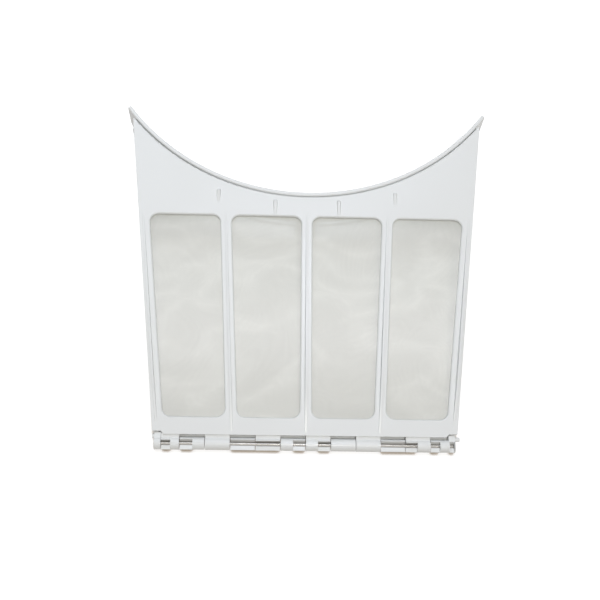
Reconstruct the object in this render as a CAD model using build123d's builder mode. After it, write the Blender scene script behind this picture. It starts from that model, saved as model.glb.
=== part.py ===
from build123d import *
from math import asin, cos, degrees, radians, sin, sqrt, tan
import os

os.makedirs("parts", exist_ok=True)

# Book-type lint filter lying closed on its rear half, hinge towards -Y, mouth towards +Y, in millimetres.
# In each half, local x runs across, local y from the hinge to the mouth and local z out of the pocket.

# Wedge and hinge
wedge_angle = 11.5
barrel_radius = 5.0
rod_radius = 1.5
running_clearance = 0.08
hinge_inset = 1.3
knuckle_count = 12
knuckle_gap = 0.4
end_knuckle = 5.2
end_wall = 0.8
rod_end_gap = 0.15
channel_mouth = 4.8
channel_lip = 0.4

# Panels shared by both halves
panel_thickness = 3.6
foot_gap = 1.5
half_foot = 119.5
side_slope = 0.117
border = 8.7
rib_width = 9.3
rib_share = 0.485
foot_rail = 13.8
head_rail = 17.8
window_corner = 7.0
window_draft = 2.0
window_bevel = 0.8

# Mesh let into the window walls
mesh_thickness = 0.5
mesh_inside = 0.6
mesh_hold = 2.0

# Front panel
mouth_gap = 0.9
tip_flat = 1.9
strap_step = 1.7
strap_root = 1.0
notch_step = 2.4
notch_slant = 2.2
arc_round = 1.2
fin_thickness = 1.8
fin_height = 4.8
fin_rise = 0.16
fin_fall = 0.05
fin_peak_from_foot = 51.5
fin_past_window = 3.7
rib_fin_from_foot = 2.5
side_fin_from_foot = 9.5
side_fin_inset = 3.4
ramp_root = 4.4
ramp_crest = 2.0
ramp_height = 1.8
ramp_end = 2.3
ramp_places = ((26.9, -17.0, -2.6), (75.0, -6.5, 5.8))
tongue_from_tip = 32.3
tongue_length = 12.0
tongue_thickness = 1.6
tongue_depth = 9.0

# Rear half: side walls, centre post and the curved rim round the mouth
wall_inset = 2.5
wall_thickness = 2.0
closing_clearance = 0.3
rim_radius = 193.8
rim_thickness = 3.1
rim_chamfer = 0.6
rim_low = 206.8
rim_overhang = 1.9
rim_rail = 7.0
seat_width = 3.0
mouth_sill = 2.0
post_width = 18.6
post_setback = 0.5
rim_notch_start = 21.0
rim_notch_length = 8.0
rim_notch_depth = 3.6

# End lugs and their locating stubs
lug_start = 2.4
lug_reach = 7.6
lug_rise = 4.2
stub_radius = 1.7
stub_reach = 5.0
stub_rise = 2.0
right_stub_length = 3.7
left_stub_length = 1.7

panel_inside = barrel_radius - panel_thickness
mesh_low = panel_inside + mesh_inside
mesh_high = mesh_low + mesh_thickness
lean = radians(wedge_angle)
foot = barrel_radius + foot_gap
hinge_half = half_foot - hinge_inset
hinge_pitch = 2 * hinge_half / knuckle_count
rim_centre = rim_low + rim_radius


def half_width(along):
    return half_foot + side_slope * (along - foot)


def side_crossing(radius, beyond, tilt, height):
    """How far along a panel its side, moved out by `beyond`, meets a circle round the rim's centre."""
    across = half_width(0) + beyond
    away = rim_centre + height * sin(tilt)
    square = side_slope**2 + cos(tilt) ** 2
    linear = across * side_slope - away * cos(tilt)
    constant = across**2 + away**2 - radius**2
    return -(linear + sqrt(linear**2 - square * constant)) / square


rim_outside = rim_radius + rim_thickness
rim_tip = side_crossing(rim_radius, rim_overhang, 0, 0)
rim_angle = asin((half_width(rim_tip) + rim_overhang) / rim_radius)
arc_radius = rim_outside + mouth_gap
arc_low = (rim_centre - arc_radius + barrel_radius * sin(lean)) / cos(lean)
arc_corner = side_crossing(arc_radius, -tip_flat, lean, barrel_radius)
window_low = foot + foot_rail
window_high = arc_low - head_rail
post_low = window_high + post_setback
post_high = post_low + wall_thickness
fin_root = panel_thickness / 4
stock = 2 * rim_tip

axis_point = (0, -(rim_tip - barrel_radius) / 2, barrel_radius)
front = Plane(origin=axis_point, x_dir=(1, 0, 0), z_dir=(0, -sin(lean), cos(lean)))
rear = Plane(origin=axis_point, x_dir=(-1, 0, 0), z_dir=(0, 0, -1))

# Knuckle stretches as shares of a pitch. "over" crosses on the front side of the rod, "under" behind it.
front_stretches = {
    0: ((0.0, 0.65, "under"), (0.65, 1.0, "over")),
    2: ((0.0, 1.0, "over"),),
    4: ((0.0, 1.0, "under"),),
    6: ((0.0, 0.49, "over"), (0.49, 1.0, "under")),
    8: ((0.0, 1.0, "over"),),
    10: ((0.0, 0.47, "under"), (0.47, 1.0, "over")),
}
rear_stretches = {
    1: ((0.0, 0.52, "under"), (0.52, 1.0, "over")),
    3: ((0.0, 1.0, "under"),),
    5: ((0.0, 0.5, "over"), (0.5, 1.0, "under")),
    7: ((0.0, 1.0, "over"),),
    9: ((0.0, 1.0, "under"),),
    11: ((0.0, 0.38, "under"), (0.38, 0.76, "over"), (0.76, 1.0, "under")),
}


def rib_line(along):
    return rib_share * half_width(along)


def window_sketch(plane, columns, grow):
    """The openings of the chosen columns, each edge moved outwards by `grow`."""
    low, high = window_low - grow, window_high + grow
    with BuildSketch(plane) as openings:
        for column in columns:
            side = 1 if column > 1 else -1
            corners = []
            for along in (low, high):
                if column in (0, 3):
                    near, far = rib_line(along) + rib_width / 2, half_width(along) - border
                else:
                    near, far = rib_width / 2, rib_line(along) - rib_width / 2
                corners.append([(side * (near - grow), along), (side * (far + grow), along)])
            with BuildLine():
                Polyline(*corners[0], *reversed(corners[1]), close=True)
            make_face()
        fillet(openings.vertices(), radius=window_corner + grow)
    return openings.sketch


def cut_windows(half):
    """Openings with a bevel round their outer edge, and a groove round each that holds the mesh."""
    narrowed = barrel_radius * tan(radians(window_draft))
    opening = window_sketch(half, range(4), -narrowed)
    extrude(opening, 2 * barrel_radius, taper=-window_draft, mode=Mode.SUBTRACT)
    outer_edges = edges(Select.LAST).group_by(Axis(axis_point, half.z_dir))[-1]
    chamfer(outer_edges, length=window_bevel)
    groove = window_sketch(half.offset(mesh_low), range(4), mesh_hold)
    extrude(groove, mesh_thickness, mode=Mode.SUBTRACT)


def hinge_section(half, middle):
    origin = (middle, axis_point[1], axis_point[2])
    return Plane(origin=origin, x_dir=half.y_dir, z_dir=half.x_dir)


def add_knuckle(half, start, end, strap_outside):
    """One barrel stretch with the short strap that ties it to its own panel."""
    with BuildSketch(hinge_section(half, (start + end) / 2)) as profile:
        Circle(barrel_radius)
        with BuildLine():
            Polyline(
                (0, panel_inside),
                (foot + strap_root, panel_inside),
                (foot + strap_root, strap_outside),
                (0, strap_outside),
                close=True,
            )
        make_face()
    extrude(profile.sketch, (end - start) / 2, both=True)


def cut_channel(half, start, end, crossing, radius):
    """The trough that the rod lies in, open to the front or the back, with a low lip away from the panel."""
    outward = 1 if half is front else -1
    open_side = -outward if crossing == "over" else outward
    beyond = 1.2 * barrel_radius
    with BuildSketch(hinge_section(half, (start + end) / 2)) as profile:
        Circle(radius)
        with BuildLine():
            Polyline(
                (radius, 0),
                (channel_mouth / 2, open_side * beyond),
                (-beyond, open_side * beyond),
                (-beyond, open_side * channel_lip),
                (-radius, open_side * channel_lip),
                (-radius, 0),
                close=True,
            )
        make_face()
    extrude(profile.sketch, (end - start) / 2, both=True, mode=Mode.SUBTRACT)


def add_hinge(half, stretches, strap_outside, radius):
    for index, parts in stretches.items():
        left = -hinge_half + index * hinge_pitch
        start = max(left, -hinge_half + end_knuckle) + knuckle_gap / 2
        end = left + hinge_pitch - knuckle_gap / 2
        add_knuckle(half, start, end, strap_outside)
        for share_start, share_end, crossing in parts:
            cut_start = max(left + share_start * hinge_pitch, -hinge_half + end_wall)
            cut_end = min(left + share_end * hinge_pitch, hinge_half - end_wall)
            cut_channel(half, cut_start, cut_end, crossing, radius)


def add_fin(across, slope, low):
    """A thin fin bowed out of the panel along a straight line, highest towards the hinge end."""
    along = (front.x_dir * slope + front.y_dir).normalized()
    start = front.from_local_coords((across, 0, barrel_radius))
    peak = foot + fin_peak_from_foot
    high = window_high + fin_past_window
    with BuildSketch(Plane(origin=start, x_dir=along, z_dir=along.cross(front.z_dir))) as profile:
        with BuildLine():
            Spline((low, 0), (peak, fin_height), tangents=((1, fin_rise), (1, 0)))
            Spline((peak, fin_height), (high, 0), tangents=((1, 0), (1, -fin_fall)))
            Polyline((high, 0), (high, -fin_root), (low, -fin_root), (low, 0))
        make_face()
    extrude(profile.sketch, fin_thickness / 2, both=True)


def add_ramp(across, low, high):
    """A small wedge with sloping flanks that rises towards the arc and ends in a short slope."""
    sections = []
    for along, height in ((low, 0), (high - ramp_end, ramp_height), (high, 0)):
        origin = front.from_local_coords((across, along, barrel_radius))
        with BuildSketch(Plane(origin=origin, x_dir=front.x_dir, z_dir=-front.y_dir)) as section:
            with BuildLine():
                Polyline(
                    (-ramp_root / 2, -fin_root),
                    (ramp_root / 2, -fin_root),
                    (ramp_crest / 2, height),
                    (-ramp_crest / 2, height),
                    close=True,
                )
            make_face()
        sections.append(section.sketch)
    loft(sections, ruled=True)


def rim_sketch(inner, outer, angle):
    """The plan of a curved wall on the rim's centre, reaching the same angle to both sides."""
    with BuildSketch(rear) as plan:
        with BuildLine():
            drum_side = CenterArc((0, rim_centre), inner, -90 - degrees(angle), 2 * degrees(angle))
            pocket_side = CenterArc((0, rim_centre), outer, -90 - degrees(angle), 2 * degrees(angle))
            Line(drum_side @ 0, pocket_side @ 0)
            Line(drum_side @ 1, pocket_side @ 1)
        make_face()
    return plan.sketch


def trim(level, outward):
    """Cuts away what lies beyond a level of the front panel, outwards or inwards of it."""
    with BuildSketch(front.offset(level)) as beyond:
        Rectangle(2 * stock, 2 * stock)
    extrude(beyond.sketch, stock if outward else -stock, mode=Mode.SUBTRACT)


with BuildPart() as front_frame:
    with BuildSketch(front.offset(panel_inside)) as outline:
        with BuildLine():
            notch_x = hinge_half - end_knuckle + knuckle_gap / 2
            notch_y = foot + notch_step
            tip_x = half_width(arc_corner) - tip_flat
            top = ThreePointArc((tip_x, arc_corner), (0, arc_low), (-tip_x, arc_corner))
            Polyline(
                top @ 1,
                (-half_width(arc_corner), arc_corner),
                (-half_width(notch_y), notch_y),
                (-notch_x, notch_y),
                (-notch_x + notch_slant, foot),
                (notch_x - notch_slant, foot),
                (notch_x, notch_y),
                (half_width(notch_y), notch_y),
                (half_width(arc_corner), arc_corner),
                top @ 0,
            )
        make_face()
    extrude(amount=panel_thickness)
    outer_face = front_frame.faces().sort_by(Axis(axis_point, front.z_dir))[-1]
    fillet(outer_face.edges().filter_by(GeomType.CIRCLE), radius=arc_round)
    cut_windows(front)
    add_fin(0, 0, foot + rib_fin_from_foot)
    for side in (-1, 1):
        add_fin(side * rib_line(0), side * rib_share * side_slope, foot + rib_fin_from_foot)
        add_fin(side * (half_width(0) - side_fin_inset), side * side_slope, foot + side_fin_from_foot)
        for across, from_low, to_low in ramp_places:
            add_ramp(side * across, arc_low + from_low, arc_low + to_low)
        with BuildSketch(front.offset(panel_inside)) as tongue:
            with BuildLine():
                reach = wall_inset + wall_thickness + closing_clearance
                tongue_low = arc_corner - tongue_from_tip
                tongue_high = tongue_low + tongue_length
                low_x = half_width(tongue_low * cos(lean)) - reach
                high_x = half_width(tongue_high * cos(lean)) - reach
                Polyline(
                    (side * low_x, tongue_low),
                    (side * high_x, tongue_high),
                    (side * (high_x - tongue_thickness), tongue_high),
                    (side * (low_x - tongue_thickness), tongue_low),
                    close=True,
                )
            make_face()
        extrude(tongue.sketch, -tongue_depth)
    add_hinge(front, front_stretches, barrel_radius - strap_step, rod_radius + running_clearance)
front_frame.part.label = "front_frame"
export_step(front_frame.part, "parts/front_frame.step")

# The space of the four mouth openings, between the sill and the rail of the rim
with BuildPart() as mouth:
    with BuildSketch(rear.offset(panel_inside - mouth_sill)) as openings:
        post = rib_line(rim_low)
        mouth_end = half_width(rim_low) - border
        for start, end in ((rib_width / 2, post - rib_width / 2), (post + rib_width / 2, mouth_end)):
            for side in (-1, 1):
                with BuildLine():
                    Polyline(
                        (side * start, post_high),
                        (side * end, post_high),
                        (side * end, rim_tip),
                        (side * start, rim_tip),
                        close=True,
                    )
                make_face()
    extrude(openings.sketch, -stock)
    trim(barrel_radius - rim_rail, outward=True)

# The ledge inside the rim that the front panel's arc edge closes on
with BuildPart() as seat:
    seat_angle = asin((half_width(rim_tip) - wall_inset) / rim_outside)
    extrude(rim_sketch(rim_outside - rim_thickness / 2, rim_outside + seat_width, seat_angle), -stock)
    trim(panel_inside - closing_clearance, outward=True)
    trim(barrel_radius - rim_rail, outward=False)

with BuildPart() as rear_frame:
    with BuildSketch(rear.offset(panel_inside)) as walls:
        with BuildLine():
            outside = wall_inset
            inside = wall_inset + wall_thickness
            Polyline(
                (half_width(foot) - outside, foot),
                (half_width(rim_tip) - outside, rim_tip),
                (half_width(rim_tip) - inside, rim_tip),
                (half_width(foot) - inside, foot),
                close=True,
            )
        make_face()
        mirror(about=Plane.YZ)
        with Locations((0, (post_low + post_high) / 2)):
            Rectangle(post_width, wall_thickness)
        with Locations((0, (post_low + rim_low) / 2)):
            Rectangle(wall_thickness, rim_low - post_low)
        with Locations((0, rim_centre)):
            Circle(rim_outside - rim_thickness / 2, mode=Mode.SUBTRACT)
    extrude(walls.sketch, -stock)
    trim(panel_inside - closing_clearance, outward=True)
    rim = rim_sketch(rim_radius, rim_outside, rim_angle)
    extrude(rim, barrel_radius)
    extrude(rim, -stock)
    trim(barrel_radius, outward=True)
    rim_face = rear_frame.faces().sort_by(Axis(axis_point, front.z_dir))[-1]
    chamfer(rim_face.edges().sort_by(SortBy.LENGTH)[-2:], length=rim_chamfer)
    add(seat.part)
    add(mouth.part, mode=Mode.SUBTRACT)
    with BuildSketch(Plane(origin=axis_point, x_dir=(1, 0, 0), z_dir=(0, -1, 0))) as notches:
        rim_end = rim_outside * sin(rim_angle)
        notch_top = rim_tip * tan(lean) + barrel_radius / cos(lean) - rim_notch_start
        for side in (-1, 1):
            with BuildLine():
                Polyline(
                    (side * rim_end, notch_top),
                    (side * (rim_end - rim_notch_depth), notch_top - rim_notch_length),
                    (side * stock, notch_top - rim_notch_length),
                    (side * stock, notch_top),
                    close=True,
                )
            make_face()
    extrude(notches.sketch, -stock, mode=Mode.SUBTRACT)
    with BuildSketch(rear.offset(panel_inside)) as floor:
        with BuildLine():
            Polyline(
                (half_width(foot), foot),
                (half_width(rim_tip), rim_tip),
                (-half_width(rim_tip), rim_tip),
                (-half_width(foot), foot),
                close=True,
            )
        make_face()
        with Locations((0, rim_centre)):
            Circle(rim_outside - rim_thickness / 2, mode=Mode.SUBTRACT)
    extrude(floor.sketch, panel_thickness)
    cut_windows(rear)
    for outer_end in (-hinge_half, hinge_half):
        inner_end = outer_end - end_knuckle if outer_end > 0 else outer_end + end_knuckle
        add_knuckle(rear, min(outer_end, inner_end), max(outer_end, inner_end), barrel_radius)
        with BuildSketch(hinge_section(rear, (outer_end + inner_end) / 2)) as lug:
            with BuildLine():
                Polyline(
                    (lug_start, -lug_rise),
                    (lug_reach, -lug_rise),
                    (lug_reach, panel_inside),
                    (lug_start, panel_inside),
                    close=True,
                )
            make_face()
        extrude(lug.sketch, end_knuckle / 2, both=True)
    cut_channel(rear, -hinge_half + end_wall, -hinge_half + end_knuckle, "over", rod_radius)
    add_hinge(rear, rear_stretches, barrel_radius, rod_radius)
    for outer_end, length in ((-hinge_half, -left_stub_length), (hinge_half, right_stub_length)):
        with BuildSketch(hinge_section(rear, outer_end + length / 2)) as stub:
            with Locations((stub_reach, -stub_rise)):
                Circle(stub_radius)
        extrude(stub.sketch, abs(length) / 2, both=True)
rear_frame.part.label = "rear_frame"
export_step(rear_frame.part, "parts/rear_frame.step")

with BuildPart() as hinge_rod:
    with BuildSketch(hinge_section(front, 0)) as rod:
        Circle(rod_radius)
    extrude(rod.sketch, hinge_half - end_wall - rod_end_gap, both=True)
hinge_rod.part.label = "hinge_rod"
export_step(hinge_rod.part, "parts/hinge_rod.step")

for column in range(4):
    with BuildPart() as front_mesh:
        extrude(window_sketch(front.offset(mesh_low), (column,), mesh_hold), mesh_thickness)
    front_mesh.part.label = f"front_mesh_{column + 1}"
    export_step(front_mesh.part, f"parts/front_mesh_{column + 1}.step")
    with BuildPart() as rear_mesh:
        extrude(window_sketch(rear.offset(mesh_low), (3 - column,), mesh_hold), mesh_thickness)
    rear_mesh.part.label = f"rear_mesh_{column + 1}"
    export_step(rear_mesh.part, f"parts/rear_mesh_{column + 1}.step")
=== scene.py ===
import math

import bpy
from mathutils import Matrix, Vector, geometry


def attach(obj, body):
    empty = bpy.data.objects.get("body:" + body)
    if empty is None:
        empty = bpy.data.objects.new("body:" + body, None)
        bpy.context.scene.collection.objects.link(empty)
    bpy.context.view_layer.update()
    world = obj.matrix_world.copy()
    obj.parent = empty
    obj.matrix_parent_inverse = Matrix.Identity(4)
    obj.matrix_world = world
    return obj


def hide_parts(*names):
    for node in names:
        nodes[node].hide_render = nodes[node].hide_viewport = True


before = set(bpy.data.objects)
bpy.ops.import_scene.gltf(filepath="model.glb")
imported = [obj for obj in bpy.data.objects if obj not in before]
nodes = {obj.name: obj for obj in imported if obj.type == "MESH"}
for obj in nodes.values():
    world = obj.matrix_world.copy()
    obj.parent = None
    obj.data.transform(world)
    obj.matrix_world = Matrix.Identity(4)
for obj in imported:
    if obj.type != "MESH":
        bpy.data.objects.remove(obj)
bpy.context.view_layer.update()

# Across and along directions in the panel of each half
WEDGE = math.radians(11.5)
HALVES = {
    "front": (Vector((1, 0, 0)), Vector((0, math.cos(WEDGE), math.sin(WEDGE)))),
    "rear": (Vector((1, 0, 0)), Vector((0, 1, 0))),
}
COLUMNS = range(1, 5)
WHITE = (1, 1, 1, 1)


def camera():
    """The photo's viewpoint, solved from the outline of the part."""
    elevation, azimuth, roll = (math.radians(a) for a in (62.547, -4.623, 5.19))
    target, distance = Vector((-0.00424, -0.01075, 0.005)), 0.71126
    sensor, picture_pixels, focal_pixels = 36, 600, 830
    back = Vector((
        math.sin(azimuth) * math.cos(elevation),
        -math.cos(azimuth) * math.cos(elevation),
        math.sin(elevation),
    ))
    right = Vector((0, 0, 1)).cross(back).normalized()
    up = back.cross(right)
    right, up = (
        math.cos(roll) * right + math.sin(roll) * up,
        -math.sin(roll) * right + math.cos(roll) * up,
    )
    data = bpy.data.cameras.new("camera")
    data.sensor_width = sensor
    data.lens = focal_pixels * sensor / picture_pixels
    data.clip_start = 0.01
    data.clip_end = 50
    obj = bpy.data.objects.new("camera", data)
    bpy.context.scene.collection.objects.link(obj)
    turn = Matrix((right, up, back)).transposed().to_4x4()
    obj.matrix_world = Matrix.Translation(target + back * distance) @ turn
    bpy.context.scene.camera = obj


def fill(tree, inputs, values):
    """Links each value that is a socket to its input, and sets the others."""
    for key, value in values.items():
        if isinstance(value, bpy.types.NodeSocket):
            tree.links.new(value, inputs[key])
        else:
            inputs[key].default_value = value


def add_node(tree, kind, values=None, **settings):
    node = tree.nodes.new("ShaderNode" + kind)
    for key, value in settings.items():
        setattr(node, key, value)
    fill(tree, node.inputs, values or {})
    return node


class Nodes:
    """A new material whose nodes are added and linked by short calls."""

    def __init__(self, name):
        self.material = bpy.data.materials.new(name)
        self.material.use_nodes = True
        self.tree = self.material.node_tree
        self.shader = self.tree.nodes["Principled BSDF"]

    def add(self, kind, values=None, **settings):
        return add_node(self.tree, kind, values, **settings)

    def shade(self, **values):
        named = {key.replace("_", " "): value for key, value in values.items()}
        fill(self.tree, self.shader.inputs, named)

    def place(self, scale=(1, 1, 1)):
        """Object coordinates in metres, stretched by a scale along each axis."""
        where = self.add("TexCoord").outputs["Object"]
        return self.add("Mapping", {"Vector": where, "Scale": scale}).outputs["Vector"]

    def noise(self, vector, scale, detail=2, distortion=0):
        values = {"Vector": vector, "Scale": scale, "Detail": detail, "Distortion": distortion}
        return self.add("TexNoise", values).outputs["Fac"]

    def ramp(self, factor, *stops, smooth=False):
        """A colour ramp through (position, colour) stops; a plain number is a grey."""
        node = self.add("ValToRGB", {"Fac": factor})
        node.color_ramp.interpolation = "EASE" if smooth else "LINEAR"
        elements = node.color_ramp.elements
        while len(elements) < len(stops):
            elements.new(0.5)
        for element, (position, colour) in zip(elements, stops):
            grey = isinstance(colour, (int, float))
            element.position = position
            element.color = (colour, colour, colour, 1) if grey else (*colour, 1)
        return node.outputs["Color"]

    def math(self, operation, a, b):
        return self.add("Math", {0: a, 1: b}, operation=operation).outputs["Value"]

    def times(self, a, b):
        """Two colours multiplied. 6 and 7 are the node's colour inputs, 2 its colour output."""
        values = {"Factor": 1.0, 6: a, 7: b}
        return self.add("Mix", values, data_type="RGBA", blend_type="MULTIPLY").outputs[2]


def plastic():
    """Satin white moulding with softened edges, a faint cloudiness and a fine tool grain."""
    m = Nodes("white_plastic")
    where = m.place()
    cloud = m.noise(where, scale=9, detail=3, distortion=0.6)
    polish = m.noise(where, scale=60)
    grain = m.noise(where, scale=1400)
    edge = m.add("Bevel", {"Radius": 0.0005}, samples=8).outputs["Normal"]
    bump = m.add("Bump", {"Strength": 0.05, "Distance": 0.0002, "Height": grain, "Normal": edge})
    m.shade(
        Base_Color=m.ramp(cloud, (0.1, (0.75, 0.76, 0.75)), (0.9, (0.785, 0.797, 0.795))),
        Roughness=m.ramp(polish, (0.1, 0.20), (0.9, 0.28)),
        Normal=bump.outputs["Normal"],
    )
    return m.material


def steel():
    """Bright drawn wire with fine lines along its length."""
    m = Nodes("rod_steel")
    lines = m.noise(m.place((12, 2600, 2600)), scale=1, detail=1)
    bump = m.add("Bump", {"Strength": 0.05, "Distance": 0.0001, "Height": lines})
    m.shade(
        Base_Color=m.ramp(lines, (0.3, (0.36, 0.345, 0.32)), (0.7, (0.49, 0.47, 0.44))),
        Metallic=1.0,
        Roughness=m.ramp(lines, (0.3, 0.2), (0.7, 0.32)),
        Normal=bump.outputs["Normal"],
    )
    return m.material


def mesh_cloth():
    """Fine woven polyester: threads both ways, faint strands in the weave, and painted shade that
    leaves a paler middle.
    """
    m = Nodes("mesh")
    where = m.place()
    warp, weft = (
        m.add("TexWave", {"Vector": where, "Scale": 480}, bands_direction=way).outputs["Fac"]
        for way in "XY"
    )
    threads = m.math("MAXIMUM", warp, weft)

    # Fine contour lines where the two layers of weave beat, and broader pale strands
    contour = 0.012
    moire = m.math("PINGPONG", m.noise(where, scale=11, detail=1.5, distortion=0.5), contour)
    ridges = m.add("TexNoise", {
        "Vector": m.place((0.55, 1, 1)),
        "Scale": 30,
        "Detail": 5,
        "Distortion": 0.7,
        "Offset": 1.0,
        "Gain": 1.0,
    }, noise_type="RIDGED_MULTIFRACTAL")
    wisps = m.math("MULTIPLY", ridges.outputs["Fac"], 0.55)
    streaks = m.times(
        m.ramp(moire, (0.0, 0.978), (contour, 1.0)),
        m.ramp(wisps, (0.35, 0.925), (0.95, 1.0)),
    )

    # Painted shade along the panel from the hinge end to the mouth (darker at both ends, darkest
    # at the mouth end, paler in the middle), and across it (darker near the sides)
    spot = m.add("SeparateXYZ", {"Vector": m.add("TexCoord").outputs["Generated"]})
    painted_shade_along = m.ramp(
        spot.outputs["Y"],
        (0.0, (0.82, 0.82, 0.775)),
        (0.12, (0.89, 0.89, 0.845)),
        (0.40, (0.97, 0.97, 0.93)),
        (0.72, (0.94, 0.945, 0.90)),
        (0.92, (0.88, 0.88, 0.83)),
        (1.0, (0.78, 0.785, 0.73)),
        smooth=True,
    )
    # Painted shade: the cloth is darker near the side walls of each window
    sides = m.ramp(
        spot.outputs["X"], (0.0, 0.93), (0.12, 1.0), (0.88, 1.0), (1.0, 0.93), smooth=True
    )

    bump = m.add("Bump", {"Strength": 0.3, "Distance": 0.0002, "Height": threads})
    m.shade(
        Base_Color=m.times(m.times(painted_shade_along, sides), streaks),
        Roughness=m.ramp(wisps, (0.3, 0.7), (1.0, 0.55)),
        Alpha=m.ramp(threads, (0.1, 0.47), (0.9, 0.83)),
        Normal=bump.outputs["Normal"],
        Sheen_Weight=0.1,
    )
    return m.material


def paint(names, mat):
    for name in names:
        data = nodes[name].data
        data.materials.clear()
        data.materials.append(mat)


def outline(node, across, along):
    """The panel's outline in its own plane, and how far out its middle lies."""
    out = across.cross(along)
    points = [v.co for v in nodes[node].data.vertices]
    levels = [p.dot(out) for p in points]
    flat = [Vector((p.dot(across), p.dot(along))) for p in points]
    hull = [flat[i] for i in geometry.convex_hull_2d(flat)]
    return hull, (min(levels) + max(levels)) / 2 * out


def row_ends(hull, level):
    """Where a row at this level meets the two sides of the outline."""
    found = []
    for a, b in zip(hull, hull[1:] + hull[:1]):
        if (a.y - level) * (b.y - level) <= 0 and abs(a.y - b.y) > 1e-9:
            found.append(a.x + (b.x - a.x) * (level - a.y) / (b.y - a.y))
    return min(found), max(found)


def stretched_mesh(node, half, mat, columns=36, rows=90):
    """A flat sheet in the outline of a window's plain mesh solid, with closer rows at its ends."""
    across, along = HALVES[half]
    hull, offset = outline(node, across, along)
    low, high = min(p.y for p in hull), max(p.y for p in hull)
    points, faces = [], []
    for r in range(rows + 1):
        level = low + (high - low) * (0.5 - 0.5 * math.cos(math.pi * r / rows))
        inside = min(max(level, low + 1e-6), high - 1e-6)
        left, right = row_ends(hull, inside)
        for c in range(columns + 1):
            points.append(across * (left + (right - left) * c / columns) + along * level + offset)
    for r in range(rows):
        for c in range(columns):
            i = r * (columns + 1) + c
            faces.append((i, i + 1, i + columns + 2, i + columns + 1))
    data = bpy.data.meshes.new(node + "_cloth")
    data.from_pydata(points, [], faces)
    data.materials.append(mat)
    obj = bpy.data.objects.new(node + "_cloth", data)
    bpy.context.scene.collection.objects.link(obj)
    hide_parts(node)
    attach(obj, half + "_half")


def direct_rays(tree):
    """1 for rays from the camera, from gloss and through glass.

    0 for scattered light, and for what is seen through the mesh.
    """
    path = add_node(tree, "LightPath").outputs

    def calculate(operation, a, b):
        return add_node(tree, "Math", {0: a, 1: b}, operation=operation).outputs["Value"]

    seen = calculate("MAXIMUM", path["Is Camera Ray"], path["Is Glossy Ray"])
    seen = calculate("MAXIMUM", seen, path["Is Transmission Ray"])
    clear = calculate("LESS_THAN", path["Transparent Depth"], 0.5)
    return calculate("MULTIPLY", seen, clear)


def floor():
    """A floor that looks white, keeps the shadow and returns less light than it shows."""
    bpy.ops.mesh.primitive_plane_add(size=6, location=(0, 0, -0.0003))
    obj = bpy.context.object
    obj.name = "floor"
    m = Nodes("floor")

    # As scattered light meets it; it glows a little where two layers of mesh lie before it,
    # painted light standing in for the light that the mesh lets through
    layers = m.add("LightPath").outputs["Transparent Depth"]
    m.shade(
        Base_Color=(0.52, 0.48, 0.43, 1),
        Roughness=0.9,
        Specular_IOR_Level=0.1,
        Emission_Color=(1, 0.98, 0.93, 1),
        Emission_Strength=m.math("MULTIPLY", m.math("GREATER_THAN", layers, 1.5), 0.3),
    )

    # As it is seen: white, with a painted contact shadow, a narrow dark line where the part
    # touches it
    away = m.add("VectorMath", {0: m.add("TexCoord").outputs["Object"]}, operation="LENGTH")
    open_sky = m.add("AmbientOcclusion", {"Distance": 0.004}, samples=8).outputs["AO"]
    shade = m.ramp(open_sky, (0.52, (0.36, 0.30, 0.24)), (0.84, (1, 1, 1)))
    seen = m.add("BsdfPrincipled", {
        "Base Color": m.times(shade, (0.6, 0.6, 0.6, 1)),
        "Roughness": 0.9,
        "Specular IOR Level": 0.1,
        "Emission Color": shade,
        "Emission Strength": m.ramp(away.outputs["Value"], (0.3, 0.6), (0.8, 1.0), smooth=True),
    })

    mix = m.add("MixShader", {
        "Fac": direct_rays(m.tree),
        1: m.shader.outputs["BSDF"],
        2: seen.outputs["BSDF"],
    })
    m.tree.links.new(mix.outputs["Shader"], m.tree.nodes["Material Output"].inputs["Surface"])
    obj.data.materials.append(m.material)


def light(name, place, size, power, colour):
    """A round lamp that faces the middle of the part."""
    middle = Vector((0, 0, 0.02))
    data = bpy.data.lights.new(name, "AREA")
    data.shape = "DISK"
    data.size = size
    data.energy = power
    data.color = colour
    obj = bpy.data.objects.new(name, data)
    bpy.context.scene.collection.objects.link(obj)
    obj.location = place
    obj.rotation_euler = (middle - Vector(place)).to_track_quat("-Z", "Y").to_euler()
    return obj


def lamps():
    """A warm key on the hinge side, a cool softbox over the mouth and a dim lamp overhead.

    The key stays out of the gloss, and a weaker lamp beside it makes the highlights.
    """
    hinge_side, warm = (0.20, -1.45, 3.20), (1, 0.97, 0.92)
    key = light("key", hinge_side, 0.30, 40, warm)
    key.visible_glossy = False
    light("glint", hinge_side, 0.30, 13.5, warm)
    light("softbox", (-0.15, 0.60, 1.38), 1.20, 7.3, (0.83, 0.905, 1))
    light("sheen", (0.07, 0.08, 1.45), 0.30, 1.4, (0.80, 0.82, 1))


def room():
    """A dim room for the light, and a white one where it is seen."""
    world = bpy.data.worlds.new("studio")
    bpy.context.scene.world = world
    world.use_nodes = True
    tree = world.node_tree
    lit = tree.nodes["Background"]
    fill(tree, lit.inputs, {"Color": WHITE, "Strength": 0.26})
    seen = add_node(tree, "Background", {"Color": WHITE, "Strength": 1.0})
    mix = add_node(tree, "MixShader", {
        "Fac": direct_rays(tree),
        1: lit.outputs["Background"],
        2: seen.outputs["Background"],
    })
    tree.links.new(mix.outputs["Shader"], tree.nodes["World Output"].inputs["Surface"])


camera()
paint(["front_frame", "rear_frame"], plastic())
paint(["hinge_rod"], steel())
cloth = mesh_cloth()
for half in HALVES:
    for column in COLUMNS:
        stretched_mesh(f"{half}_mesh_{column}", half, cloth)
floor()
lamps()
room()
bpy.context.scene.view_settings.view_transform = "Standard"
